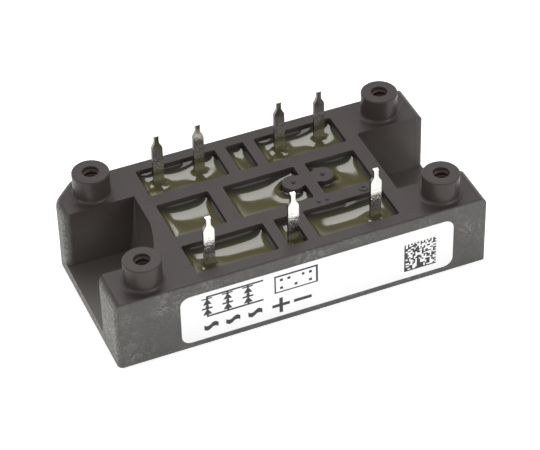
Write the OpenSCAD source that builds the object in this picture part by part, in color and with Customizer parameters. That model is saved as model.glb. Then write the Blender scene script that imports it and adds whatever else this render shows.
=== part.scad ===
// Three-phase bridge rectifier module: a moulded housing over a ceramic
// substrate, with seven solder pins, four circuit-board posts and two
// screw notches. Millimetres, +Z up, origin at the centre of the cooling face.

/* [Housing] */
// Length over the two ends
body_l = 63; // [61:0.5:76]
// Width over the two long sides
body_w = 31.6; // [30.6:0.2:40]
// Height of the deck above the cooling face
deck_h = 12.8; // [11:0.1:20]
// Thickness of the deck plate and of the ribs between its windows
deck_t = 2; // [1.2:0.1:3]
// Radius of the upright corner at the front of the keyed end
corner_r = 0.9; // [0.3:0.1:2]
// Radius of the two upright corners at the other end
plain_corner_r = 0.4; // [0.2:0.1:2]
// Size of the slanted corner that shows which way round the module goes
key_corner = 3.4; // [2:0.1:4]
// Radius that blends the slanted corner into the end
key_blend_r = 4; // [1:0.1:6]
// Rounding of the top edges at the two ends
end_round_r = 1.3; // [0.3:0.1:1.8]
// Rounding of the top edges along the two sides
edge_round_r = 0.4; // [0.1:0.1:0.8]

/* [Screw notches] */
// Depth of each notch from the end of the housing
notch_l = 12; // [10:0.1:12.2]
// Width of the notches
notch_w = 15.6; // [12:0.1:16]
// Thickness of the floor that the screw clamps
notch_floor_t = 2; // [1.5:0.1:4]
// Rounding of the upright edges at the mouth of the notch in the keyed end
notch_edge_r = 1.3; // [0.3:0.1:2]
// Rounding of the same edges at the other end
plain_notch_edge_r = 0.5; // [0.2:0.1:2]
// Radius of the bowed inner wall at the keyed end
bow_r = 30; // [25:1:60]
// How far the crown of the bow is from the middle of the notch
bow_shift = 5.5; // [0:0.1:6]
// Radius of the fillet in the inner corners of a notch, at its floor
notch_fillet_r = 1.8; // [1:0.1:2.4]
// Size of that fillet where it runs out at the deck
notch_fillet_top = 0.3; // [0.1:0.05:0.6]
// Diameter of the screw holes
screw_d = 5.4; // [3.5:0.1:6]
// Distance between the two screw holes
screw_pitch = 50.5; // [49:0.1:52]

/* [Board posts] */
// Diameter of the posts
post_d = 6.1; // [5:0.1:7]
// Height of the posts above the deck
post_h = 4.2; // [2:0.1:8]
// Diameter of the hole for a thread-forming screw
post_bore_d = 2.7; // [1.5:0.1:3.5]
// Depth of that hole
post_bore_l = 10; // [5:0.5:11]
// Distance between posts along the housing
post_pitch_x = 50.5; // [49:0.1:52]
// Distance between posts across the housing
post_pitch_y = 23.2; // [22.6:0.1:23.6]
// Radius of the fillet round the foot of each post
post_fillet_r = 0.5; // [0.1:0.05:0.7]

/* [Windows] */
// Length of the cavity, and of each row of windows
cavity_l = 34.4; // [34:0.1:34.8]
// Width of the cavity, and of the three rows of windows
cavity_w = 27; // [26.6:0.1:27.2]
// Rib between two rows of windows
row_rib = 2.5; // [1.5:0.1:3]
// Width of the middle row
mid_row_w = 8.4; // [7.6:0.1:8.8]
// Length of the small window in the middle of each outer row
small_win_l = 3.2; // [2.8:0.1:4]
// Rib beside the small windows
small_rib = 1.8; // [1:0.1:2.2]
// Length of the left window of the middle row
mid_left_l = 8.9; // [7:0.1:9.5]
// Rib to the right of it
mid_left_rib = 2.5; // [1.5:0.1:3]
// Length of the right window of the middle row
mid_right_l = 8.7; // [8:0.1:9]
// Rib to the left of it, which carries the hold-down columns
mid_right_rib = 1.9; // [1.2:0.1:2.4]
// Corner radius of the windows
win_r = 0.35; // [0.1:0.05:0.8]

/* [Hold-down columns] */
// Diameter of the two columns that press on the substrate
column_d = 3.6; // [3:0.1:4]
// Distance between the columns
column_pitch = 5.1; // [4.6:0.1:5.6]
// How far the columns are behind the middle of the module
column_y = 0.5; // [0:0.1:1]
// Width of the web from the rib to each column
column_web = 2.8; // [1.5:0.1:3.4]
// Diameter of the pip on each column
pip_d = 0.7; // [0.3:0.1:1.2]

/* [Substrate] */
// Thickness of the copper under the ceramic
base_copper_t = 0.3; // [0.2:0.05:0.6]
// Thickness of the ceramic plate
ceramic_t = 0.63; // [0.3:0.01:1]
// Thickness of the copper islands on the ceramic
island_t = 0.3; // [0.2:0.05:0.6]
// Width of the step in the housing that holds the ceramic
seat_w = 1.2; // [0.8:0.1:1.4]
// Adhesive gap round and over the edge of the ceramic
glue_gap = 0.15; // [0.05:0.05:0.3]
// Bare ceramic outside the copper under it
ceramic_rim = 1; // [0.5:0.1:2]
// Bare ceramic between two islands
island_gap = 0.5; // [0.3:0.05:0.7]
// Bare ceramic between the islands and the cavity wall
island_edge = 0.5; // [0.3:0.05:0.8]
// Width of the three input islands
input_island_w = 7.8; // [7.6:0.1:8]
// Width of the negative bus beside them
bus_w = 2.2; // [1.8:0.1:2.4]
// Width of the link from the bus to the negative pins
link_w = 1.8; // [1.2:0.1:2]
// Width of the island that carries the negative pins
minus_pad_w = 4.8; // [4.6:0.1:5]

/* [Diodes] */
// Side of a square diode die
die_l = 3.8; // [3:0.1:3.9]
// Thickness of a die
die_t = 0.3; // [0.15:0.05:0.5]
// Thickness of the solder under dies and pins
solder_t = 0.1; // [0.05:0.05:0.2]
// Diameter of the bond wires
wire_d = 0.38; // [0.2:0.02:0.5]
// Distance between bond wires
wire_pitch = 0.6; // [0.55:0.05:0.7]
// Height of a bond wire's loop
loop_h = 2; // [1:0.1:4]

/* [Pins] */
// Width of a pin
pin_w = 1.8; // [1:0.1:2]
// Thickness of a pin
pin_t = 0.6; // [0.4:0.05:1]
// Height of the pin tips above the cooling face
pin_top = 21; // [20:0.1:28]
// Length of the slim tip
tip_l = 1.2; // [0.5:0.1:2]
// Width of the slim tip
tip_w = 0.72; // [0.5:0.02:0.9]
// Length of the taper below the tip
taper_l = 1.35; // [0.5:0.05:3]
// Distance between neighbouring grid places of the pins
pin_grid = 7.05; // [6.9:0.05:7.1]
// Distance between the two rows of pins
pin_rows = 22.1; // [21.8:0.1:22.4]
// Length of the soldered foot
foot_l = 2.2; // [1.5:0.1:2.5]

/* [Gel] */
// Depth of the gel surface below the deck
gel_drop = 2.1; // [1.6:0.1:3]
// How far the gel climbs the window walls
gel_climb = 1.2; // [0.4:0.1:1.4]
// Width of the band over which it climbs
gel_band = 1; // [0.3:0.1:1.4]

/* [Label] */
// Length of the label
label_l = 46.6; // [20:0.1:56]
// Height of the label
label_h = 9.4; // [4:0.1:9.8]
// Distance of the label's lower edge from the cooling face
label_z = 1.1; // [0.5:0.1:1.2]
// How far the label is to the right of the middle
label_shift = 2.3; // [0:0.1:3]
// Corner radius of the label
label_r = 1.6; // [0.5:0.1:2]
// Thickness of the label
label_t = 0.1; // [0.05:0.05:0.2]

/* [Hidden] */
$fn = 48;
// Overshoot that keeps a cutter clear of the face it opens
cut = 1;

// Where the slanted corner's blend meets the end, and how long a cutter along
// the slant has to be to run out past the side
key_y = body_w / 2 - key_corner - key_blend_r * tan(22.5);
key_run = key_corner * sqrt(2) - key_blend_r * tan(22.5) + end_round_r + cut;
// Angle by which the round cutter of the blend overlaps the straight ones
key_overlap = 5;

// Axis of the bowed notch wall, and where that wall meets the notch's far side
bow_crown = 0.4;
bow_x = notch_l + bow_crown - bow_r;
bow_end = bow_x + sqrt(bow_r * bow_r - (notch_w / 2 - bow_shift) * (notch_w / 2 - bow_shift));

// Heights of the stacked layers
ceramic_z = base_copper_t;
island_z = ceramic_z + ceramic_t;
solder_z = island_z + island_t;
die_z = solder_z + solder_t;
die_top = die_z + die_t;
deck_under = deck_h - deck_t;
gel_z = deck_h - gel_drop;

// Edges of the windows
row_edge = mid_row_w / 2 + row_rib;
row_w = cavity_w / 2 - row_edge;
small_edge = small_win_l / 2 + small_rib;
mid_left_edge = -cavity_l / 2 + mid_left_l;
mid_right_edge = cavity_l / 2 - mid_right_l;
mid_win_l = mid_right_edge - mid_right_rib - mid_left_edge - mid_left_rib;
column_mid = mid_right_edge - mid_right_rib / 2;
columns = [for (side = [-1, 1]) column_mid + side * column_pitch / 2];

// Each window as [left, front, length, width]
windows = [
    for (y = [row_edge, -cavity_w / 2])
        for (span = [
            [-cavity_l / 2, cavity_l / 2 - small_edge],
            [-small_win_l / 2, small_win_l],
            [small_edge, cavity_l / 2 - small_edge]
        ]) [span[0], y, span[1], row_w],
    [-cavity_l / 2, -mid_row_w / 2, mid_left_l, mid_row_w],
    [mid_left_edge + mid_left_rib, -mid_row_w / 2, mid_win_l, mid_row_w],
    [mid_right_edge, -mid_row_w / 2, mid_right_l, mid_row_w]
];

// Edges of the islands
island_x = cavity_l / 2 - island_edge;
island_y = cavity_w / 2 - island_edge;
input_l = (2 * island_x - 2 * island_gap) / 3;
input_y = -island_y + input_island_w;
bus_y = input_y + island_gap;
plus_y = bus_y + bus_w + island_gap;
minus_pad_x = small_edge;
minus_pad_y = island_y - minus_pad_w;

// Places of the pins and of the dies
near_y = -pin_rows / 2;
far_y = pin_rows / 2;
input_pins = [-2, 0, 2] * pin_grid;
plus_pins = [-2, -1] * pin_grid;
minus_pins = [1, 2] * pin_grid;
die_margin = 0.4;
outer_share = 0.24;
outer_shift = outer_share * pin_grid;
foot_room = pin_w / 2 + die_margin + die_l / 2;
low_y = input_y - die_margin - wire_d - 2 * die_margin - die_l / 2 - foot_l / 2;
low_x = [input_pins[0] + foot_room + outer_shift, foot_room, input_pins[2] - foot_room - outer_shift];
high_y = plus_y + 3 * die_margin + die_l / 2;
side_y = minus_pad_y - island_gap - die_margin - die_l / 2;
high_dies = [
    [low_x[0] - foot_room + die_margin, high_y],
    [-foot_room + 2 * die_margin, high_y],
    [columns[1] + column_d / 2 + die_margin, side_y]
];
low_dies = [for (x = low_x) [x, low_y]];
landing_y = input_y - die_margin - wire_d;
side_shift = die_l / 2 - wire_pitch - die_margin;

// Upright wall with a flat-topped rounded outline
module rounded_rect(l, w, r) {
    translate([r, 0]) square([l - 2 * r, w]);
    translate([0, r]) square([l, w - 2 * r]);
    for (x = [r, l - r])
        for (y = [r, w - r])
            translate([x, y]) circle(r);
}

module centred_rect(l, w, r) {
    translate([-l / 2, -w / 2]) rounded_rect(l, w, r);
}

// Outline of the housing, with the keyed corner at the back left
module body_outline() {
    difference() {
        centred_rect(body_l, body_w, plain_corner_r);
        translate([-body_l / 2, -body_w / 2]) corner_cut(corner_r);
        key_corner_cut();
    }
}

// What an upright corner of radius r takes off a square corner at the origin
module corner_cut(r) {
    difference() {
        translate([-cut, -cut]) square(r + cut);
        translate([r, r]) circle(r);
    }
}

// The slant is cut slightly deeper than tangent, so that it crosses the blend cleanly
module key_corner_cut() {
    sink = 0.01;
    difference() {
        polygon([
            [-body_l / 2 - cut, key_y], [-body_l / 2 + key_blend_r, key_y],
            [-body_l / 2 + key_blend_r * (1 - cos(45)) + sink, key_y + key_blend_r * sin(45) - sink],
            [-body_l / 2 + key_corner + 2 * sink + cut, body_w / 2 + cut],
            [-body_l / 2 - cut, body_w / 2 + cut]
        ]);
        translate([-body_l / 2 + key_blend_r, key_y]) circle(key_blend_r);
    }
}

// What a rounding of radius r takes off a square edge at the origin
module edge_profile(r) {
    difference() {
        translate([-r, -r]) square([r + cut, r + cut]);
        translate([-r, -r]) circle(r);
    }
}

// Rounding along a straight top edge, with the outside towards -Y
module long_edge_cut(l, r) {
    translate([-l / 2, 0, 0])
        rotate([90, 0, 90])
            linear_extrude(l) mirror([1, 0]) edge_profile(r);
}

module top_edge_cuts() {
    translate([0, -body_w / 2, deck_h]) long_edge_cut(body_l + 2 * cut, edge_round_r);
    translate([0, body_w / 2, deck_h])
        rotate([0, 0, 180]) long_edge_cut(body_l + 2 * cut, edge_round_r);
    translate([body_l / 2, 0, deck_h])
        rotate([0, 0, 90]) long_edge_cut(body_w + 2 * cut, end_round_r);
    translate([-body_l / 2, (key_y - body_w / 2 - cut) / 2, deck_h])
        rotate([0, 0, -90]) long_edge_cut(key_y + body_w / 2 + cut, end_round_r);
    translate([-body_l / 2 + key_blend_r, key_y, deck_h])
        rotate([0, 0, 135 - key_overlap])
            rotate_extrude(angle = 45 + 2 * key_overlap)
                intersection() {
                    translate([key_blend_r, 0]) edge_profile(end_round_r);
                    translate([0, -body_w]) square(2 * body_w);
                }
    translate([-body_l / 2 + key_blend_r, key_y, deck_h])
        rotate([0, 0, -135])
            translate([-key_run / 2, -key_blend_r, 0]) long_edge_cut(key_run, end_round_r);
}

// Screw notch that opens towards -X, with its mouth at the origin
module notch_cut(bowed, edge_r) {
    depth = deck_h - notch_floor_t + cut;
    difference() {
        intersection() {
            union() {
                translate([-cut, -notch_w / 2, 0]) cube([notch_l + cut, notch_w, depth]);
                for (side = [-1, 1])
                    scale([1, side, 1])
                        difference() {
                            translate([-cut, notch_w / 2 - cut, 0])
                                cube([edge_r + cut, edge_r + cut, depth]);
                            translate([edge_r, notch_w / 2 + edge_r, -cut])
                                cylinder(r = edge_r, h = depth + 2 * cut);
                        }
            }
            if (bowed)
                translate([bow_x, bow_shift, -cut])
                    cylinder(r = bow_r, h = depth + 2 * cut, $fn = 96);
        }
        notch_fillet(bowed ? bow_end : notch_l);
        if (!bowed) scale([1, -1, 1]) notch_fillet(notch_l);
    }
}

// Fillet in the inner corner of a notch, widest at the floor
module notch_fillet(x) {
    r = notch_fillet_r;
    rise = deck_h - notch_floor_t;
    top_r = norm([r, r - notch_fillet_top]);
    translate([x - r, notch_w / 2 - r, 0])
        difference() {
            translate([0, 0, -cut]) cube([r + cut, r + cut, rise + 3 * cut]);
            cylinder(r1 = r, r2 = top_r, h = rise);
            translate([0, 0, rise - cut / 2]) cylinder(r = top_r, h = 3 * cut);
            translate([0, 0, -2 * cut]) cylinder(r = r, h = 2 * cut);
        }
}

module at_posts() {
    for (x = [-1, 1])
        for (y = [-1, 1])
            translate([x * post_pitch_x / 2, y * post_pitch_y / 2, deck_h]) children();
}

// Post with an eased rim and a fillet round its foot
module board_post() {
    ease = 0.15;
    sunk = 0.2;
    foot_r = post_d / 2 + post_fillet_r;
    rotate_extrude() {
        polygon([
            [0, -sunk], [post_d / 2, -sunk],
            [post_d / 2, post_h - ease], [post_d / 2 - ease, post_h], [0, post_h]
        ]);
        difference() {
            translate([0, -sunk]) square([foot_r, sunk + post_fillet_r]);
            translate([foot_r, post_fillet_r]) circle(post_fillet_r);
        }
    }
}

module hold_down_columns() {
    for (x = columns) {
        translate([x, column_y, solder_z]) cylinder(d = column_d, h = deck_h - solder_z);
        translate([x, column_y, deck_h]) sphere(d = pip_d, $fn = 24);
    }
    translate([columns[0], column_y - column_web / 2, deck_under])
        cube([column_pitch, column_web, deck_t]);
}

// Small moulded marks on the rib in front of the middle row
module deck_marks() {
    mark_h = 0.15;
    mark_d = 0.7;
    mark_y = -mid_row_w / 2 - row_rib / 2;
    ring_share = 0.7;
    for (side = [-1, 1])
        translate([column_mid + side * mark_d, mark_y, deck_h - mark_h])
            cylinder(d = mark_d, h = 2 * mark_h, $fn = 24);
    translate([mid_right_edge + mid_right_l * ring_share, mark_y, deck_h - mark_h])
        difference() {
            cylinder(d = 2 * mark_d, h = 2 * mark_h, $fn = 24);
            translate([0, 0, mark_h]) cylinder(d = mark_d, h = cut, $fn = 24);
        }
}

module housing() color([0.34, 0.32, 0.33]) {
    difference() {
        union() {
            difference() {
                linear_extrude(deck_h) body_outline();
                top_edge_cuts();
                translate([-body_l / 2, 0, notch_floor_t]) notch_cut(true, notch_edge_r);
                translate([body_l / 2, 0, notch_floor_t])
                    rotate([0, 0, 180]) notch_cut(false, plain_notch_edge_r);
                for (w = windows)
                    translate([w[0], w[1], deck_under - cut])
                        linear_extrude(deck_t + 2 * cut) rounded_rect(w[2], w[3], win_r);
                translate([0, 0, -cut])
                    linear_extrude(deck_under + cut) centred_rect(cavity_l, cavity_w, win_r);
                translate([0, 0, -cut])
                    linear_extrude(island_z + glue_gap + cut)
                        centred_rect(cavity_l + 2 * seat_w, cavity_w + 2 * seat_w, win_r);
            }
            at_posts() board_post();
            hold_down_columns();
            deck_marks();
        }
        at_posts() translate([0, 0, post_h - post_bore_l])
            cylinder(d = post_bore_d, h = post_bore_l + cut);
        for (x = [-1, 1])
            translate([x * screw_pitch / 2, 0, -cut])
                cylinder(d = screw_d, h = notch_floor_t + 2 * cut);
    }
}

module label() color([0.93, 0.93, 0.93])
    translate([label_shift, -body_w / 2, label_z + label_h / 2])
        rotate([90, 0, 0])
            linear_extrude(label_t) centred_rect(label_l, label_h, label_r);

module base_copper() color([0.72, 0.45, 0.30])
    linear_extrude(base_copper_t)
        centred_rect(ceramic_l - 2 * ceramic_rim, ceramic_w - 2 * ceramic_rim, win_r);

ceramic_l = cavity_l + 2 * (seat_w - glue_gap);
ceramic_w = cavity_w + 2 * (seat_w - glue_gap);

module ceramic_plate() color([0.92, 0.91, 0.88])
    translate([-ceramic_l / 2, -ceramic_w / 2, ceramic_z])
        cube([ceramic_l, ceramic_w, ceramic_t]);

// Sealing bead between the ceramic and its seat in the housing
module base_adhesive() color([0.80, 0.78, 0.72])
    difference() {
        translate([0, 0, ceramic_z])
            linear_extrude(ceramic_t + glue_gap)
                centred_rect(cavity_l + 2 * seat_w, cavity_w + 2 * seat_w, win_r);
        translate([-ceramic_l / 2, -ceramic_w / 2, ceramic_z - cut])
            cube([ceramic_l, ceramic_w, ceramic_t + cut]);
        translate([0, 0, ceramic_z])
            linear_extrude(ceramic_t + glue_gap + cut) centred_rect(cavity_l, cavity_w, win_r);
    }

module island(corner, size) color([0.78, 0.52, 0.36])
    translate([corner[0], corner[1], island_z]) cube([size[0], size[1], island_t]);

module island_input(i)
    island([-island_x + i * (input_l + island_gap), -island_y], [input_l, input_island_w]);

module island_plus() {
    left_l = minus_pad_x - island_gap + island_x;
    right_l = island_x - link_w - island_gap + island_x;
    union() {
        island([-island_x, plus_y], [left_l, island_y - plus_y]);
        island([-island_x, plus_y], [right_l, minus_pad_y - island_gap - plus_y]);
    }
}

module island_minus() {
    union() {
        island([-island_x, bus_y], [2 * island_x, bus_w]);
        island([island_x - link_w, bus_y], [link_w, island_y - bus_y]);
        island([minus_pad_x, minus_pad_y], [island_x - minus_pad_x, minus_pad_w]);
    }
}

module die(place, z, side, h)
    translate([place[0] - side / 2, place[1] - side / 2, z]) cube([side, side, h]);

module diode(place) color([0.45, 0.46, 0.50])
    die(place, die_z, die_l, die_t);

module die_solder() color([0.70, 0.70, 0.72])
    for (place = concat(high_dies, low_dies))
        die(place, solder_z, die_l + 2 * solder_t, solder_t);

module pin_foot(x, y, margin, z, h) {
    towards = y > 0 ? -1 : 1;
    front = towards > 0 ? y - pin_t / 2 : y + pin_t / 2 - foot_l;
    translate([x - pin_w / 2 - margin, front - margin, z])
        cube([pin_w + 2 * margin, foot_l + 2 * margin, h]);
}

module pin_solder() color([0.70, 0.70, 0.72]) {
    for (x = input_pins) pin_foot(x, near_y, solder_t, solder_z, solder_t);
    for (x = concat(plus_pins, minus_pins)) pin_foot(x, far_y, solder_t, solder_z, solder_t);
}

// Half width of a pin at each height along its shoulder, from the full width up to the tip
shoulder = [
    for (i = [0:8])
        [
            tip_w / 2 + (pin_w - tip_w) / 2 * (1 + cos(180 * i / 8)) / 2,
            pin_top - tip_l - taper_l * (1 - i / 8)
        ]
];

// Flat blade that narrows through round shoulders to a slim tip, on a foot
// bent towards the middle
module pin(x, y) color([0.72, 0.72, 0.74]) {
    burr = 0.08;
    side = concat(
        [[pin_w / 2, die_z]], shoulder,
        [[tip_w / 2, pin_top - 2 * burr], [tip_w / 2 + burr, pin_top]]
    );
    union() {
        translate([x, y + pin_t / 2, 0])
            rotate([90, 0, 0])
                linear_extrude(pin_t)
                    polygon(concat(
                        side, [for (i = [len(side) - 1:-1:0]) [-side[i][0], side[i][1]]]
                    ));
        pin_foot(x, y, 0, die_z, pin_t);
    }
}

// One bond wire from a die at y0 to a copper pad at y1, in front of it
module bond_wire(x, y0, y1) {
    span = y0 - y1;
    rise = loop_h;
    arc_r = (span * span / 4 + rise * rise) / (2 * rise);
    half = asin(span / 2 / arc_r);
    foot = 2 * wire_d;
    translate([x, (y0 + y1) / 2, die_top + wire_d / 2 + rise - arc_r])
        rotate([90, 0, 90])
            rotate([0, 0, 90 - half])
                rotate_extrude(angle = 2 * half)
                    translate([arc_r, 0]) circle(d = wire_d, $fn = 16);
    translate([x - wire_d / 2, y0 - foot / 2, die_top]) cube([wire_d, foot, wire_d]);
    translate([x - wire_d / 2, y1 - foot / 2, solder_z])
        cube([wire_d, foot, die_top - solder_z + wire_d]);
}

module bond_wires(place, y1, shift) color([0.80, 0.80, 0.82])
    union()
        for (i = [-1, 0, 1])
            bond_wire(place[0] + shift + i * wire_pitch, place[1], y1);

module all_bond_wires() {
    for (i = [0, 1, 2]) {
        bond_wires(high_dies[i], landing_y, i == 2 ? side_shift : 0);
        bond_wires(low_dies[i], bus_y + bus_w / 2, 0);
    }
}

module all_islands() {
    for (i = [0, 1, 2]) island_input(i);
    island_plus();
    island_minus();
}

module all_pins() {
    for (x = input_pins) pin(x, near_y);
    for (x = concat(plus_pins, minus_pins)) pin(x, far_y);
}

// Prism along +X whose section is a trapezoid: l wide at the bottom, wider by
// gel_band each side at the top
module sloped_prism(l, length)
    translate([-length / 2, 0, 0])
        rotate([90, 0, 90])
            linear_extrude(length)
                polygon([
                    [-l / 2, 0], [l / 2, 0],
                    [l / 2 + gel_band, gel_climb], [l / 2 + gel_band, gel_climb + cut],
                    [-l / 2 - gel_band, gel_climb + cut], [-l / 2 - gel_band, gel_climb]
                ]);

// Gel in one window, with a hollow where its surface sinks between the walls
module window_gel(w) {
    lip = 0.12;
    hollow_l = w[2] - 2 * (lip + gel_band);
    hollow_w = w[3] - 2 * (lip + gel_band);
    difference() {
        translate([w[0], w[1], deck_under])
            linear_extrude(gel_z + gel_climb - deck_under) rounded_rect(w[2], w[3], win_r);
        translate([w[0] + w[2] / 2, w[1] + w[3] / 2, gel_z])
            intersection() {
                sloped_prism(hollow_w, w[2]);
                rotate([0, 0, 90]) sloped_prism(hollow_l, w[3]);
            }
    }
}

module gel() color([0.42, 0.40, 0.26])
    difference() {
        union() {
            translate([0, 0, island_z])
                linear_extrude(deck_under - island_z) centred_rect(cavity_l, cavity_w, win_r);
            for (w = windows) window_gel(w);
        }
        hold_down_columns();
        all_islands();
        all_pins();
        all_bond_wires();
        die_solder();
        pin_solder();
        for (place = concat(high_dies, low_dies)) diode(place);
    }

housing();
label();
gel();
base_copper();
ceramic_plate();
base_adhesive();
island_input(0);  // island_input_1
island_input(1);  // island_input_2
island_input(2);  // island_input_3
island_plus();
island_minus();
die_solder();
pin_solder();
diode(high_dies[0]);  // diode_1
diode(high_dies[1]);  // diode_2
diode(high_dies[2]);  // diode_3
diode(low_dies[0]);  // diode_4
diode(low_dies[1]);  // diode_5
diode(low_dies[2]);  // diode_6
bond_wires(high_dies[0], landing_y, 0);  // bond_wires_1
bond_wires(high_dies[1], landing_y, 0);  // bond_wires_2
bond_wires(high_dies[2], landing_y, side_shift);  // bond_wires_3
bond_wires(low_dies[0], bus_y + bus_w / 2, 0);  // bond_wires_4
bond_wires(low_dies[1], bus_y + bus_w / 2, 0);  // bond_wires_5
bond_wires(low_dies[2], bus_y + bus_w / 2, 0);  // bond_wires_6
pin(input_pins[0], near_y);  // pin_input_1
pin(input_pins[1], near_y);  // pin_input_2
pin(input_pins[2], near_y);  // pin_input_3
pin(plus_pins[0], far_y);  // pin_plus_1
pin(plus_pins[1], far_y);  // pin_plus_2
pin(minus_pins[0], far_y);  // pin_minus_1
pin(minus_pins[1], far_y);  // pin_minus_2
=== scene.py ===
"""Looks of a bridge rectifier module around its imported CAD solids. Lengths are in millimetres times MM."""

import math
import random

import bmesh
import bpy
import numpy as np
from mathutils import Matrix, Vector


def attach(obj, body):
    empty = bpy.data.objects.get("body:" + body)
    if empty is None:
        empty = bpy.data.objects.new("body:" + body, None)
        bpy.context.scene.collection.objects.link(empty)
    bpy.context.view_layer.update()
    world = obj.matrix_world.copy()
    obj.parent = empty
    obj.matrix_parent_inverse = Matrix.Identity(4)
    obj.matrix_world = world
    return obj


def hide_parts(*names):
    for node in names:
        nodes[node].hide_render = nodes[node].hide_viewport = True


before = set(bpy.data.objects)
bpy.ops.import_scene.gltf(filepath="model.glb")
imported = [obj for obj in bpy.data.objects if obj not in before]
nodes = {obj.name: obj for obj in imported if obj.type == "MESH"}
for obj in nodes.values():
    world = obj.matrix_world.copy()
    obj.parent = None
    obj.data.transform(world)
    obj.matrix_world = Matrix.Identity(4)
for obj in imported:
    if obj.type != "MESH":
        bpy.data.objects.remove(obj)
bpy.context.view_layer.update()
MM = 0.001

# Sizes that the part's source gives these pieces, in millimetres
BODY = (63.0, 31.6)
KEY_CORNER = 3.4
CAVITY = (34.4, 27.0)
# Windows and the ribs between them, from the left: the front and back rows, then the middle row
OUTER_ROW = (13.8, 1.8, 3.2, 1.8, 13.8)
MIDDLE_ROW = (8.9, 2.5, 12.4, 1.9, 8.7)
OUTER_ROW_W = 6.8
MIDDLE_ROW_W = 8.4
WINDOW_R = 0.35
PIN = (1.8, 0.6)
PIN_GRID = 7.05
PIN_ROW = 11.05
NEAR_PINS = [(step * PIN_GRID, -PIN_ROW) for step in (-2, 0, 2)]
FAR_PINS = [(step * PIN_GRID, PIN_ROW) for step in (-2, -1, 1, 2)]
COLUMNS = [(4.945, 0.5), (10.045, 0.5)]
COLUMN_R = 1.8
WEB_W = 2.8
GEL_LEVEL = 10.7
GEL_TOP = 11.9
POSTS = [(x, y) for x in (-25.25, 25.25) for y in (-11.6, 11.6)]
POST_TOP = 17.0
BORE_R = 1.35
LABEL = (46.6, 9.4)
LABEL_MID = (2.3, 5.8)
LABEL_R = 1.6
LABEL_BACK = -15.8
LABEL_FRONT = -15.9

# Height at which the gel's free surface takes over from its CAD solid, and thickness of the ink
GEL_CUT = 10.5
INK_T = 0.01
# How far the gel climbs a pin, as a share of its climb on a wall
PIN_CLIMB = 0.65

# Depths below an outer face, in millimetres, at which its rough finish starts and is complete
SIDE_BAND = (0.45, 0.05)
END_BAND = (1.5, 0.3)
SLANT_BAND = (1.5, 0.2)
# Heights, in millimetres, at which a finish or a painted mark starts and is complete, going down
# Painted light: the housing's fine faces painted paler low down
PAINTED_LIGHT_LOW = (12, 3)
# Painted reflection: a pin's foot painted olive for the gel it mirrors
GEL_REFLECTION_FOOT = (13.4, 12.4)
DENTED_BLADE = (16.9, 16.3)

# The view: azimuth, elevation and roll in degrees, place in millimetres
CAMERA_TURN = (-21.943, 40.357, 1.55)
CAMERA_PLACE = (-109.808, -274.008, 256.814)
CAMERA_LENS = 160.18
SENSOR_W = 36

# Area lamps, in metres: name, place, point aimed at, width, depth and watts
LAMPS = (
    ("overhead", (0.06, 0.37, 0.7), (0, 0, 0), 0.54, 0.41, 3.2),
    ("strip", (0.24, -0.43, 0.68), (0, 0, 0), 0.5, 0.12, 0.14),
    ("left", (-0.75, -0.1, 0.3), (0, 0, 0.005), 0.4, 0.4, 1.2),
    ("front", (0.45, -0.85, 0.35), (0, 0, 0.005), 0.5, 0.4, 3.4),
)
# Floor's own glow where it is seen or mirrored, and the world's even fill
FLOOR_GLOW = 0.5
WORLD_FILL = 0.6
# Upward slope of a reflection, from 0 to 1, over which what it mirrors dims from 1 to SWEEP_TOP
SWEEP = (0.3, 0.62)
SWEEP_TOP = 0.25


# ---------------------------------------------------------------- camera and light


def make_camera():
    azimuth, elevation, roll = (math.radians(angle) for angle in CAMERA_TURN)
    back = Vector(
        (
            math.sin(azimuth) * math.cos(elevation),
            -math.cos(azimuth) * math.cos(elevation),
            math.sin(elevation),
        )
    )
    level_right = (-back).cross(Vector((0, 0, 1))).normalized()
    level_down = (-back).cross(level_right)
    right = math.cos(roll) * level_right + math.sin(roll) * level_down
    down = -math.sin(roll) * level_right + math.cos(roll) * level_down
    data = bpy.data.cameras.new("camera")
    data.lens = CAMERA_LENS
    data.sensor_width = SENSOR_W
    data.clip_start = 0.01
    camera = bpy.data.objects.new("camera", data)
    camera.matrix_world = Matrix(
        [(right[i], -down[i], back[i], CAMERA_PLACE[i] * MM) for i in range(3)] + [(0, 0, 0, 1)]
    )
    bpy.context.scene.collection.objects.link(camera)
    bpy.context.scene.camera = camera


def make_lamp(name, place, aim, width, depth, watts):
    data = bpy.data.lights.new(name, "AREA")
    data.shape = "RECTANGLE"
    data.size = width
    data.size_y = depth
    data.energy = watts
    lamp = bpy.data.objects.new(name, data)
    lamp.location = place
    lamp.rotation_euler = (Vector(aim) - Vector(place)).to_track_quat("-Z", "Y").to_euler()
    bpy.context.scene.collection.objects.link(lamp)


def make_world():
    """White sweep for the camera, the same sweep dimming overhead for reflections, and a low even fill."""
    world = bpy.data.worlds.new("world")
    world.use_nodes = True
    tree = world.node_tree
    tree.nodes.clear()

    def add(kind, *values, **settings):
        made = tree.nodes.new(kind)
        for key, value in settings.items():
            setattr(made, key, value)
        for socket, value in zip(made.inputs, values):
            if isinstance(value, bpy.types.NodeSocket):
                tree.links.new(value, socket)
            elif value is not None:
                socket.default_value = value
        return made

    path = add("ShaderNodeLightPath").outputs
    place = add("ShaderNodeTexCoord").outputs["Generated"]
    height = add("ShaderNodeSeparateXYZ", place).outputs["Z"]
    sweep = add(
        "ShaderNodeMapRange", height, *SWEEP, 1.0, SWEEP_TOP, interpolation_type="SMOOTHSTEP"
    ).outputs[0]
    mirrored = add(
        "ShaderNodeMath", path["Is Glossy Ray"], path["Is Transmission Ray"], operation="MAXIMUM"
    ).outputs[0]
    level = add("ShaderNodeMix", mirrored, None, WORLD_FILL, sweep).outputs[0]
    level = add("ShaderNodeMix", path["Is Camera Ray"], None, level, 1.0).outputs[0]
    glow = add("ShaderNodeBackground", (1, 1, 1, 1), level)
    add("ShaderNodeOutputWorld", glow.outputs[0])
    bpy.context.scene.world = world


# ---------------------------------------------------------------- materials


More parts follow.
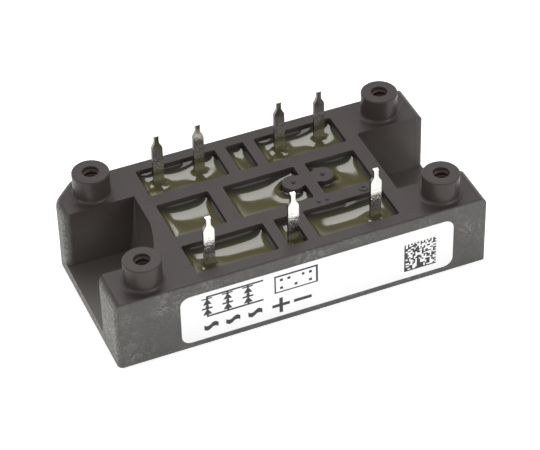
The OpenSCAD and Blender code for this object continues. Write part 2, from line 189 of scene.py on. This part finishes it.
class Graph:
    """A node material written as calls. A value that is a socket is linked, any other is set on its own."""

    def __init__(self, name):
        self.material = bpy.data.materials.new(name)
        self.material.use_nodes = True
        self.tree = self.material.node_tree
        self.tree.nodes.clear()
        self.place = self.add("ShaderNodeTexCoord").outputs["Object"]

    def add(self, kind, settings=None, **inputs):
        """A new node. An input goes by its name, with _ for each space, or by its number, as _0."""
        made = self.tree.nodes.new(kind)
        for key, value in (settings or {}).items():
            setattr(made, key, value)
        for key, value in inputs.items():
            index = key[1:]
            socket = made.inputs[int(index) if index.isdigit() else key.replace("_", " ")]
            if isinstance(value, bpy.types.NodeSocket):
                self.tree.links.new(value, socket)
            else:
                socket.default_value = value
        return made

    def math(self, kind, a, b=0.0):
        return self.add("ShaderNodeMath", {"operation": kind}, _0=a, _1=b).outputs[0]

    def plus(self, a, b):
        return self.math("ADD", a, b)

    def times(self, a, b):
        return self.math("MULTIPLY", a, b)

    def larger(self, a, b):
        return self.math("MAXIMUM", a, b)

    def absolute(self, value):
        return self.math("ABSOLUTE", value)

    def mix(self, share, a, b):
        return self.add("ShaderNodeMix", {"data_type": "RGBA"}, _0=share, _6=a, _7=b).outputs[2]

    def tint(self, colour, share, strength, towards):
        """The colour, moved towards another by share times strength."""
        return self.mix(self.times(share, strength), colour, towards)

    def noise(self, scale, detail=2.0, rough=0.5, bend=0.0, place=None):
        return self.add(
            "ShaderNodeTexNoise",
            Vector=place or self.place,
            Scale=scale,
            Detail=detail,
            Roughness=rough,
            Distortion=bend,
        ).outputs["Fac"]

    def stretch(self, scale):
        return self.add("ShaderNodeMapping", Vector=self.place, Scale=scale).outputs[0]

    def crest(self, value, top, spread):
        """1 where the value is at top, falling to 0 at spread to either side."""
        made = self.add("ShaderNodeValToRGB", Fac=value)
        points = made.color_ramp.elements
        stops = ((0, 0), (top - spread, 0), (top, 1), (top + spread, 0), (1, 0))
        while len(points) < len(stops):
            points.new(0.5)
        for point, (place, level) in zip(points, stops):
            point.position = place
            point.color = (level, level, level, 1)
        return made.outputs["Color"]

    def range(self, value, low, high, to_low=0.0, to_high=1.0):
        return self.add(
            "ShaderNodeMapRange", {"clamp": True}, _0=value, _1=low, _2=high, _3=to_low, _4=to_high
        ).outputs[0]

    def below(self, heights, to_low=0.0, to_high=1.0):
        """A level that changes between two heights in millimetres, going down."""
        return self.range(self.axis(self.place, "Z"), heights[0] * MM, heights[1] * MM, to_low, to_high)

    def bump(self, height, distance, strength=1.0):
        return self.add("ShaderNodeBump", Height=height, Distance=distance, Strength=strength).outputs[0]

    def axis(self, socket, letter):
        return self.add("ShaderNodeSeparateXYZ", Vector=socket).outputs[letter]

    def facing(self, letter):
        """How far the surface faces along an axis, from -1 to 1."""
        return self.axis(self.add("ShaderNodeNewGeometry").outputs["Normal"], letter)

    def surface(self, **inputs):
        self.output(self.add("ShaderNodeBsdfPrincipled", **inputs).outputs[0])

    def output(self, socket):
        self.add("ShaderNodeOutputMaterial", Surface=socket)


def rgb(red, green, blue):
    """A colour from its sRGB levels, 0 to 255."""
    return tuple(
        c / 12.92 if c <= 0.04045 else ((c + 0.055) / 1.055) ** 2.4
        for c in (v / 255 for v in (red, green, blue))
    ) + (1.0,)


def outer_faces(g):
    """1 on the housing's long sides, ends and keyed corner, and 0 inside them and on top."""
    x, y = (g.axis(g.place, letter) for letter in "XY")
    slant = BODY[0] / 2 + BODY[1] / 2 - KEY_CORNER
    faces = (
        (g.absolute(y), BODY[1] / 2, SIDE_BAND),
        (g.absolute(x), BODY[0] / 2, END_BAND),
        (g.math("SUBTRACT", y, x), slant, SLANT_BAND),
    )
    side, end, corner = (
        g.range(place, (face - band[0]) * MM, (face - band[1]) * MM) for place, face, band in faces
    )
    flat, upright = 0.97, 0.6
    is_side = g.range(g.absolute(g.facing("Z")), flat, upright)
    return g.times(g.larger(g.larger(side, end), corner), is_side)


def plastic():
    """Glass-filled black moulding. Its outer faces are spark-eroded, with pale flow marks and
    speckled ends. The rest is finer, with painted light that makes it paler low down."""
    g = Graph("housing_plastic")
    outer = outer_faces(g)
    ends = g.range(g.absolute(g.facing("X")), 0.45, 0.9)
    cloud = g.noise(scale=260, detail=3, rough=0.6)
    grain = g.noise(scale=5200, detail=3, rough=0.7)
    fleck = g.noise(scale=2300, detail=4, rough=0.75)
    veins = g.crest(g.noise(scale=330, detail=4, rough=0.6, bend=2.2), top=0.5, spread=0.045)
    patches = g.range(g.noise(scale=140), 0.46, 0.64)
    marks = g.times(g.times(veins, patches), g.range(fleck, 0.25, 0.55))
    speckle = g.times(g.range(g.noise(scale=2300, detail=4, rough=0.7), 0.45, 0.63), ends)

    rough = g.mix(cloud, rgb(58, 56, 54), rgb(76, 74, 71))
    rough = g.tint(rough, marks, 0.7, rgb(138, 137, 132))
    rough = g.tint(rough, g.range(fleck, 0.5, 0.7), 0.35, rgb(108, 106, 103))
    rough = g.tint(rough, ends, 0.35, rgb(46, 44, 42))
    rough = g.tint(rough, speckle, 0.75, rgb(148, 145, 135))
    fine = g.mix(cloud, rgb(56, 49, 48), rgb(63, 56, 54))
    # Painted light: the fine faces, in the notches and windows, painted paler low down
    fine = g.mix(g.below(PAINTED_LIGHT_LOW), fine, rgb(86, 82, 78))
    fine = g.tint(fine, g.range(fleck, 0.52, 0.7), 0.3, rgb(74, 69, 68))

    height = g.plus(g.times(grain, 0.5), g.times(fleck, 1.3))
    depth = g.plus(g.range(outer, 0, 1, 0.08, 1.0), g.times(g.times(ends, outer), 1.6))
    g.surface(
        Base_Color=g.mix(outer, fine, rough),
        Roughness=g.mix(outer, g.range(grain, 0.3, 0.7, 0.32, 0.4), g.range(grain, 0.3, 0.7, 0.34, 0.5)),
        IOR=g.range(outer, 0, 1, 1.37, 1.52),
        Normal=g.bump(g.times(height, depth), 0.1 * MM),
    )
    return g.material


def gel_material():
    """Clear gel that looks olive over the substrate, with painted shade along its walls and in a wider band
    by the back wall.
    """
    g = Graph("silicone_gel")
    deep = g.mix(g.noise(scale=180), rgb(72, 67, 38), rgb(82, 77, 47))
    # Painted shade: the gel is painted near-black where the walls shade it
    painted_shade = g.add("ShaderNodeAttribute", {"attribute_name": "painted_shade"}).outputs["Fac"]
    g.surface(
        Base_Color=g.mix(painted_shade, deep, rgb(22, 21, 18)),
        Roughness=g.range(g.noise(scale=900), 0.3, 0.7, 0.08, 0.14),
        IOR=1.62,
        Normal=g.bump(g.noise(scale=320, detail=1), 0.01 * MM, strength=0.3),
    )
    return g.material


def tin():
    """Bright tin on a stamped strip: streaks along the pin, dull sheared edges, a painted highlight on top,
    and a painted reflection of the gel at the foot.
    """
    g = Graph("tinned_metal")
    streaks = g.noise(scale=9000, detail=3, rough=0.6, place=g.stretch((1, 1, 0.03)))
    mottle = g.noise(scale=2400, detail=3, rough=0.65)
    tarnish = g.noise(scale=420)
    sheared = g.range(g.absolute(g.facing("X")), 0.6, 0.9)
    cut = g.range(g.facing("Z"), 0.8, 0.95)
    # Painted reflection: the foot is painted olive and partly diffuse, standing in for the gel it mirrors
    gel_reflection = g.times(g.below(GEL_REFLECTION_FOOT), g.range(mottle, 0.3, 0.5, 0.6, 1.0))

    colour = g.mix(g.range(streaks, 0.35, 0.65), rgb(206, 204, 200), rgb(230, 229, 226))
    colour = g.tint(colour, tarnish, 0.4, rgb(190, 186, 176))
    colour = g.mix(gel_reflection, colour, rgb(178, 170, 140))
    # Painted highlight: faces that point up are painted near-white
    colour = g.mix(cut, colour, rgb(250, 250, 248))
    dents = g.below(DENTED_BLADE, 0.5, 2.2)
    dull = g.times(g.plus(sheared, cut), 0.25)
    height = g.plus(g.times(streaks, 0.4), g.times(mottle, dents))
    g.surface(
        Base_Color=g.mix(sheared, colour, rgb(118, 115, 108)),
        Metallic=g.range(gel_reflection, 0, 1, 1.0, 0.72),
        Roughness=g.plus(g.range(mottle, 0.3, 0.7, 0.04, 0.1), dull),
        Normal=g.bump(height, 0.05 * MM, strength=0.6),
    )
    return g.material


def copper():
    """Rolled copper, a little stained."""
    g = Graph("copper")
    rolled = g.noise(scale=5200, detail=3, rough=0.6, place=g.stretch((0.05, 1, 1)))
    stain = g.noise(scale=190, detail=3, rough=0.6)
    colour = g.mix(g.range(stain, 0.4, 0.7), rgb(208, 146, 108), rgb(184, 120, 88))
    g.surface(
        Base_Color=g.tint(colour, rolled, 0.3, rgb(230, 176, 138)),
        Metallic=1.0,
        Roughness=g.range(rolled, 0.3, 0.7, 0.28, 0.46),
        Normal=g.bump(rolled, 0.006 * MM, strength=0.5),
    )
    return g.material


def grained(name, dark, light, rough, scale, depth, **more):
    """A cloudy colour with a fine grain, for the pieces that are small or lie under the gel."""
    finer, spread = 9, 0.07
    g = Graph(name)
    cloud = g.noise(scale, detail=3, rough=0.6)
    grain = g.noise(scale * finer)
    g.surface(
        Base_Color=g.mix(cloud, dark, light),
        Roughness=g.range(grain, 0.3, 0.7, rough - spread, rough + spread),
        Normal=g.bump(grain, depth * MM, strength=0.5),
        **more,
    )
    return g.material


def white_film():
    """White film, slightly uneven."""
    g = Graph("label_film")
    grain = g.noise(scale=3800, detail=3)
    waves = g.times(g.noise(scale=400), 3)
    g.surface(
        Base_Color=g.mix(g.noise(scale=90), rgb(247, 247, 247), rgb(252, 252, 252)),
        Roughness=g.range(grain, 0.3, 0.7, 0.34, 0.46),
        Normal=g.bump(g.plus(grain, waves), 0.003 * MM, strength=0.5),
    )
    return g.material


def ink():
    """Black print, a little worn."""
    g = Graph("label_ink")
    wear = g.noise(scale=2600, detail=3, rough=0.7)
    g.surface(
        Base_Color=g.mix(g.range(wear, 0.55, 0.8), rgb(34, 34, 38), rgb(84, 84, 88)),
        Roughness=g.range(wear, 0.3, 0.7, 0.4, 0.6),
        Normal=g.bump(wear, 0.002 * MM, strength=0.5),
    )
    return g.material


def floor_material():
    """White floor that the camera and reflections see as white, with the object's shadow kept."""
    g = Graph("floor")
    path = g.add("ShaderNodeLightPath").outputs
    mirrored = g.larger(path["Is Glossy Ray"], path["Is Transmission Ray"])
    seen = g.larger(path["Is Camera Ray"], mirrored)
    paper = g.mix(g.noise(scale=4), rgb(240, 240, 240), rgb(243, 243, 243))
    matt = g.add("ShaderNodeBsdfDiffuse", Color=paper)
    glow = g.add("ShaderNodeEmission", Color=(1, 1, 1, 1), Strength=g.times(seen, FLOOR_GLOW))
    g.output(g.add("ShaderNodeAddShader", _0=matt.outputs[0], _1=glow.outputs[0]).outputs[0])
    return g.material


# ---------------------------------------------------------------- gel

# Spacing of the surface's grid, and how far from a wall its climb dies away, in millimetres
GEL_PITCH = 0.15
GEL_REACH = 1.2
# Rounds of the solver that settles the surface, and how far each one overshoots
SOLVER_ROUNDS = 500
OVERSHOOT = 1.7
# Distance within which a point counts as on a wall, and past which it counts as clear of the walls
ON_WALL = 1e-6
CLEAR_OF_WALLS = 0.05
# Moves that bring a point onto the outline, and step used to find the outline's direction
OUTLINE_MOVES = 4
NUDGE = 1e-4
# Corners of the columns' web and of a pin, as the gel's surface goes round them
WEB_R = 0.01
PIN_R = 0.04


def mesh_of(bm, name):
    mesh = bpy.data.meshes.new(name)
    bm.to_mesh(mesh)
    bm.free()
    return mesh


def add_piece(mesh, material, slot, *replaced):
    """A piece that rides on the body, named after its mesh."""
    piece = bpy.data.objects.new(mesh.name, mesh)
    bpy.context.scene.collection.objects.link(piece)
    mesh.materials.append(material)
    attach(piece, "root")
    if replaced:
        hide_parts(*replaced)


def windows():
    """Each window of the deck as (left, front, length, width)."""
    rows = (
        (CAVITY[1] / 2 - OUTER_ROW_W, OUTER_ROW_W, OUTER_ROW),
        (-CAVITY[1] / 2, OUTER_ROW_W, OUTER_ROW),
        (-MIDDLE_ROW_W / 2, MIDDLE_ROW_W, MIDDLE_ROW),
    )
    for front, width, lengths in rows:
        left = -CAVITY[0] / 2
        for i, length in enumerate(lengths):
            if i % 2 == 0:
                yield left, front, length, width
            left += length


def outside_box(x, y, mid, half, r):
    """Distance outside a rounded box, negative inside it."""
    qx = np.abs(x - mid[0]) - half[0] + r
    qy = np.abs(y - mid[1]) - half[1] + r
    return np.hypot(np.maximum(qx, 0), np.maximum(qy, 0)) + np.minimum(np.maximum(qx, qy), 0) - r


def outside_walls(x, y, window):
    """Distance outside the gel of one window, as far as its walls and the two columns bound it."""
    mid = (window[0] + window[2] / 2, window[1] + window[3] / 2)
    far = outside_box(x, y, mid, (window[2] / 2, window[3] / 2), WINDOW_R)
    for column in COLUMNS:
        far = np.maximum(far, COLUMN_R - np.hypot(x - column[0], y - column[1]))
    web_mid = ((COLUMNS[0][0] + COLUMNS[1][0]) / 2, COLUMNS[0][1])
    web_half = ((COLUMNS[1][0] - COLUMNS[0][0]) / 2, WEB_W / 2)
    return np.maximum(far, -outside_box(x, y, web_mid, web_half, WEB_R))


def outside_gel(x, y, window):
    """The same distance with the pins taken out too."""
    far = outside_walls(x, y, window)
    for pin in NEAR_PINS + FAR_PINS:
        far = np.maximum(far, -outside_box(x, y, pin, (PIN[0] / 2, PIN[1] / 2), PIN_R))
    return far


def meniscus(fixed, level, step):
    """Height of a surface that has its level where it is held, and sinks to 0 away from there."""
    height = np.where(fixed, level, 0.0)
    sx, sy = 1 / step[0] ** 2, 1 / step[1] ** 2
    weight = 2 * sx + 2 * sy + 1 / GEL_REACH**2
    rows, columns = np.indices(fixed.shape)
    for _ in range(SOLVER_ROUNDS):
        for colour in (0, 1):
            open_cells = (~fixed) & ((rows + columns) % 2 == colour)
            around = np.zeros_like(height)
            around[1:-1, 1:-1] = (height[2:, 1:-1] + height[:-2, 1:-1]) * sx + (
                height[1:-1, 2:] + height[1:-1, :-2]
            ) * sy
            height[open_cells] += OVERSHOOT * (around[open_cells] / weight - height[open_cells])
    return height


def painted_shade_level(x, y, window):
    """Painted shade on the gel, from 0 to 1: full along each wall, less in a wider band by the back one,
    where its shadow falls.
    """
    fade, back_fade, back_share = 0.6, 1.5, 0.85
    inside = -outside_walls(x, y, window)
    from_back = window[1] + window[3] - y
    by_walls = np.clip(1.2 - inside / fade, 0, 1)
    by_back = np.clip(1.3 - from_back / back_fade, 0, 1)
    return np.maximum(by_walls, back_share * by_back)


def onto_outline(x, y, window):
    """The points, with those outside the gel moved back onto its outline."""
    for _ in range(OUTLINE_MOVES):
        grad_x = (outside_gel(x + NUDGE, y, window) - outside_gel(x - NUDGE, y, window)) / (2 * NUDGE)
        grad_y = (outside_gel(x, y + NUDGE, window) - outside_gel(x, y - NUDGE, window)) / (2 * NUDGE)
        over = np.maximum(outside_gel(x, y, window), 0)
        x, y = x - over * grad_x, y - over * grad_y
    return x, y


def add_skirt(bm, faces):
    """A wall from the rim of the faces down to the cut, closed at its foot."""
    edges = dict.fromkeys(edge for face in faces for edge in face.edges)
    low = {}
    foot = []
    for edge in [edge for edge in edges if len(edge.link_faces) == 1]:
        edge.smooth = False
        a, b = (loop.vert for loop in (edge.link_loops[0], edge.link_loops[0].link_loop_next))
        for v in (a, b):
            if v not in low:
                low[v] = bm.verts.new((v.co.x, v.co.y, GEL_CUT * MM))
        wall = bm.faces.new([b, a, low[a], low[b]])
        foot.append(next(e for e in wall.edges if set(e.verts) == {low[a], low[b]}))
    bmesh.ops.triangle_fill(bm, edges=foot, use_beauty=True)


def gel_surface(bm, window):
    """The gel's free surface in one window, with a skirt down to the cut."""
    nx, ny = (round(size / GEL_PITCH) + 1 for size in window[2:])
    x, y = np.meshgrid(
        np.linspace(window[0], window[0] + window[2], nx),
        np.linspace(window[1], window[1] + window[3], ny),
        indexing="ij",
    )
    step = (window[2] / (nx - 1), window[3] / (ny - 1))
    held = outside_gel(x, y, window) > -ON_WALL
    at_pin = outside_walls(x, y, window) < -CLEAR_OF_WALLS
    # Painted shade on the gel near the walls, kept on each vertex for the material
    painted_shade = painted_shade_level(x, y, window)
    climb = meniscus(held, np.where(at_pin, PIN_CLIMB, 1.0), step)
    height = GEL_LEVEL + (GEL_TOP - GEL_LEVEL) * climb
    x, y = onto_outline(x, y, window)
    made = {}

    def vertex(i, j):
        if (i, j) not in made:
            made[i, j] = bm.verts.new((x[i, j] * MM, y[i, j] * MM, height[i, j] * MM))
            made[i, j][bm.verts.layers.float["painted_shade"]] = painted_shade[i, j]
        return made[i, j]

    faces = []
    for i in range(nx - 1):
        for j in range(ny - 1):
            if not held[i : i + 2, j : j + 2].all():
                corners = ((i, j), (i + 1, j), (i + 1, j + 1), (i, j + 1))
                faces.append(bm.faces.new([vertex(*corner) for corner in corners]))
                faces[-1].smooth = True
    add_skirt(bm, faces)


def make_gel(material):
    """The gel's CAD solid below the cut, and its free surface in each window above it."""
    bm = bmesh.new()
    bm.from_mesh(nodes["gel"].data)
    # Layer that carries the painted shade to the gel's material
    bm.verts.layers.float.new("painted_shade")
    cut = bmesh.ops.bisect_plane(
        bm,
        geom=bm.verts[:] + bm.edges[:] + bm.faces[:],
        plane_co=(0, 0, GEL_CUT * MM),
        plane_no=(0, 0, 1),
        clear_outer=True,
    )
    rim = [e for e in cut["geom_cut"] if isinstance(e, bmesh.types.BMEdge)]
    bmesh.ops.triangle_fill(bm, edges=rim, use_beauty=True)
    for window in windows():
        gel_surface(bm, window)
    bmesh.ops.recalc_face_normals(bm, faces=bm.faces[:])
    add_piece(mesh_of(bm, "gel_surface"), material, "silicone_gel", "gel")


# ---------------------------------------------------------------- label


class Canvas:
    """Ink dots on the label, at the pitch of a thermal printer. Places are in millimetres from the label's
    lower left corner."""

    pitch = 0.085

    def __init__(self):
        self.dots = np.zeros((int(LABEL[0] / self.pitch), int(LABEL[1] / self.pitch)), bool)
        self.x, self.z = ((v + 0.5) * self.pitch for v in np.indices(self.dots.shape).astype(float))

    def inside(self, left, low, width, height):
        return (
            (self.x > left) & (self.x < left + width) & (self.z > low) & (self.z < low + height)
        )

    def box(self, left, low, width, height):
        self.dots |= self.inside(left, low, width, height)

    def hollow_box(self, left, low, width, height, pen):
        hollow = self.inside(left + pen, low + pen, width - 2 * pen, height - 2 * pen)
        self.dots |= self.inside(left, low, width, height) & ~hollow

    def disc(self, mid, r):
        self.dots |= np.hypot(self.x - mid[0], self.z - mid[1]) < r

    def line(self, a, b, pen):
        dx, dz = b[0] - a[0], b[1] - a[1]
        length = math.hypot(dx, dz)
        along = ((self.x - a[0]) * dx + (self.z - a[1]) * dz) / length
        across = np.abs((self.x - a[0]) * dz - (self.z - a[1]) * dx) / length
        self.dots |= (along > -pen / 2) & (along < length + pen / 2) & (across < pen / 2)

    def wave(self, mid, reach, pen):
        """One full wave, reach long to either side of its middle."""
        swing, half_pen = 0.26 * reach, 0.75 * pen
        phase = (self.x - mid[0]) / reach
        rise = mid[1] + swing * np.sin(np.pi * phase)
        self.dots |= (np.abs(phase) < 1) & (np.abs(self.z - rise) < half_pen)

    def diode(self, mid, size, pen):
        """A diode symbol that points up, with its bar."""
        slope = 0.6
        top = mid[1] + size / 2
        above = self.z - mid[1] + size / 2
        within = np.abs(self.x - mid[0]) < (size - above) * slope
        self.dots |= (above > 0) & (above < size) & within
        self.line((mid[0] - size * slope, top), (mid[0] + size * slope, top), pen)

    def mesh(self, name):
        """One flat face for each run of dots along a row."""
        bm = bmesh.new()
        left = LABEL_MID[0] - LABEL[0] / 2
        low = LABEL_MID[1] - LABEL[1] / 2
        for j in range(self.dots.shape[1]):
            row = np.concatenate(([False], self.dots[:, j], [False])).astype(int)
            change = np.flatnonzero(np.diff(row))
            for start, end in zip(change[::2], change[1::2]):
                x0, x1 = left + start * self.pitch, left + end * self.pitch
                z0, z1 = low + j * self.pitch, low + (j + 1) * self.pitch
                corners = ((x0, z0), (x1, z0), (x1, z1), (x0, z1))
                bm.faces.new([bm.verts.new((x * MM, LABEL_FRONT * MM, z * MM)) for x, z in corners])
        return mesh_of(bm, name)


def draw_bridge(canvas):
    """The circuit symbol of a three-phase bridge: three legs of two diodes between two rails."""
    left, low, high, leg, tail = 4.4, 4.5, 8.5, 3.4, 2.4
    pen, arrow, dot_r = 0.3, 1.25, 0.3
    mid = (low + high) / 2
    for z in (low, high):
        canvas.line((left, z), (left + 2 * leg + tail, z), pen)
    for i in range(3):
        x = left + i * leg
        canvas.line((x, low), (x, high), pen)
        for z in ((mid + high) / 2, (mid + low) / 2):
            canvas.diode((x, z), arrow, pen)
        canvas.disc((x, mid), dot_r)


def draw_signs(canvas):
    """The signs of the terminals: three for the alternating inputs, then plus and minus."""
    mid, reach, pen = 2.3, 1.2, 0.6
    first, apart = 4.9, 3.7
    plus, minus = 16.7, 20.4
    for i in range(3):
        canvas.wave((first + i * apart, mid), reach, pen)
    canvas.line((plus - reach, mid), (plus + reach, mid), pen)
    canvas.line((plus, mid - reach), (plus, mid + reach), pen)
    canvas.line((minus - reach, mid), (minus + reach, mid), pen)


def draw_layout(canvas):
    """The module seen from above, with its seven pins."""
    left, low, width, height, pen = 15.6, 4.9, 7.4, 3.6, 0.3
    first, apart, margin, pad = 1.0, 1.225, 0.75, 0.5
    canvas.hollow_box(left, low, width, height, pen)
    for i in (0, 2, 4):
        canvas.box(left + first + i * apart, low + margin, pad, pad)
    for i in (0, 1, 3, 4):
        canvas.box(left + first + i * apart, low + height - margin - pad, pad, pad)


def draw_block(canvas):
    """A block of dots like a machine-readable code. The dots are random and hold no data."""
    pick = random.Random(7)
    count, module, left, low = 20, 0.28, 38.0, 1.35
    last = count - 1
    for i in range(count):
        for j in range(count):
            edge = i == 0 or j == 0
            clock = (i == last and j % 2 == 0) or (j == last and i % 2 == 0)
            inner = 0 < i < last and 0 < j < last and pick.random() < 0.5
            if edge or clock or inner:
                canvas.box(left + i * module, low + j * module, module, module)


def rounded_outline(mid, size, r):
    """Points round a rectangle with round corners."""
    steps = 10
    points = []
    for k, (sx, sy) in enumerate(((1, 1), (-1, 1), (-1, -1), (1, -1))):
        x, y = mid[0] + sx * (size[0] / 2 - r), mid[1] + sy * (size[1] / 2 - r)
        for i in range(steps + 1):
            angle = (k + i / steps) * math.pi / 2
            points.append((x + r * math.cos(angle), y + r * math.sin(angle)))
    return points


def make_label(film, print_ink):
    bm = bmesh.new()
    outline = rounded_outline(LABEL_MID, LABEL, LABEL_R)
    front_y = (LABEL_FRONT + INK_T) * MM
    front = [bm.verts.new((x * MM, front_y, z * MM)) for x, z in outline]
    rear = [bm.verts.new((x * MM, LABEL_BACK * MM, z * MM)) for x, z in outline]
    bm.faces.new(front)
    bm.faces.new(rear[::-1])
    for a in range(len(outline)):
        b = (a + 1) % len(outline)
        bm.faces.new([front[a], rear[a], rear[b], front[b]])
    bmesh.ops.recalc_face_normals(bm, faces=bm.faces[:])
    add_piece(mesh_of(bm, "label_film"), film, "label_film", "label")

    canvas = Canvas()
    for draw in (draw_bridge, draw_signs, draw_layout, draw_block):
        draw(canvas)
    add_piece(canvas.mesh("label_ink"), print_ink, "label_film")


# ---------------------------------------------------------------- threads and floor


def make_threads(material):
    """The thread that a screw has cut in each post's bore."""
    pitch, turns, steps = 0.95, 5.2, 36
    first, depth, half_root, half_crest = 0.75, 0.2, 0.3, 0.04
    bm = bmesh.new()
    for post in POSTS:
        rings = []
        for i in range(int(turns * steps) + 1):
            turn = i / steps
            angle = turn * 2 * math.pi
            z = POST_TOP - first - turn * pitch
            crest = BORE_R - depth * min(1, turn * 2)
            profile = (
                (BORE_R, half_root), (crest, half_crest), (crest, -half_crest), (BORE_R, -half_root)
            )
            places = [
                (post[0] + r * math.cos(angle), post[1] + r * math.sin(angle), z + dz)
                for r, dz in profile
            ]
            rings.append([bm.verts.new([v * MM for v in place]) for place in places])
        for a, b in zip(rings, rings[1:]):
            for k in range(3):
                bm.faces.new([a[k], a[k + 1], b[k + 1], b[k]]).smooth = True
        bm.faces.new(rings[0])
        bm.faces.new(rings[-1][::-1])
    bmesh.ops.recalc_face_normals(bm, faces=bm.faces[:])
    add_piece(mesh_of(bm, "bore_threads"), material, "housing_plastic")


def make_floor():
    """A wide floor just under the cooling face."""
    half_w, drop = 2, 0.05 * MM
    bm = bmesh.new()
    bmesh.ops.create_grid(bm, x_segments=8, y_segments=8, size=half_w)
    bmesh.ops.translate(bm, verts=bm.verts[:], vec=(0, 0, -drop))
    mesh = mesh_of(bm, "floor")
    mesh.materials.append(floor_material())
    floor = bpy.data.objects.new("floor", mesh)
    bpy.context.scene.collection.objects.link(floor)


# ---------------------------------------------------------------- scene


def dress_cad_pieces(gel, film):
    """A material for each CAD node, by its name or else by how the name starts."""
    solder = grained("solder", rgb(150, 150, 152), rgb(186, 186, 188), 0.35, 700, 0.01, Metallic=1.0)
    red_copper = copper()
    by_name = {
        "housing": plastic(),
        "gel": gel,
        "base_copper": red_copper,
        "ceramic_plate": grained("alumina", rgb(226, 222, 212), rgb(240, 238, 231), 0.6, 900, 0.004),
        "base_adhesive": grained("adhesive", rgb(196, 190, 172), rgb(214, 210, 196), 0.5, 600, 0.02),
        "die_solder": solder,
        "pin_solder": solder,
        "label": film,
    }
    by_start = {
        "island": red_copper,
        "diode": grained("silicon", rgb(86, 90, 100), rgb(112, 116, 126), 0.25, 500, 0.002, Metallic=0.6),
        "bond_wires": grained(
            "wire_aluminium", rgb(188, 190, 194), rgb(216, 218, 222), 0.32, 1500, 0.004, Metallic=1.0
        ),
        "pin": tin(),
    }
    for name, node in nodes.items():
        likely = [finish for start, finish in by_start.items() if name.startswith(start)]
        for place in node.material_slots:
            place.material = by_name[name] if name in by_name else likely[0]


clear_gel = gel_material()
label_film = white_film()
dress_cad_pieces(clear_gel, label_film)
make_gel(clear_gel)
make_label(label_film, ink())
make_threads(grained("thread_crest", rgb(100, 88, 84), rgb(124, 110, 104), 0.42, 900, 0.01))
make_floor()
make_world()
make_camera()
for lamp in LAMPS:
    make_lamp(*lamp)

scene = bpy.context.scene
scene.view_settings.view_transform = "Standard"
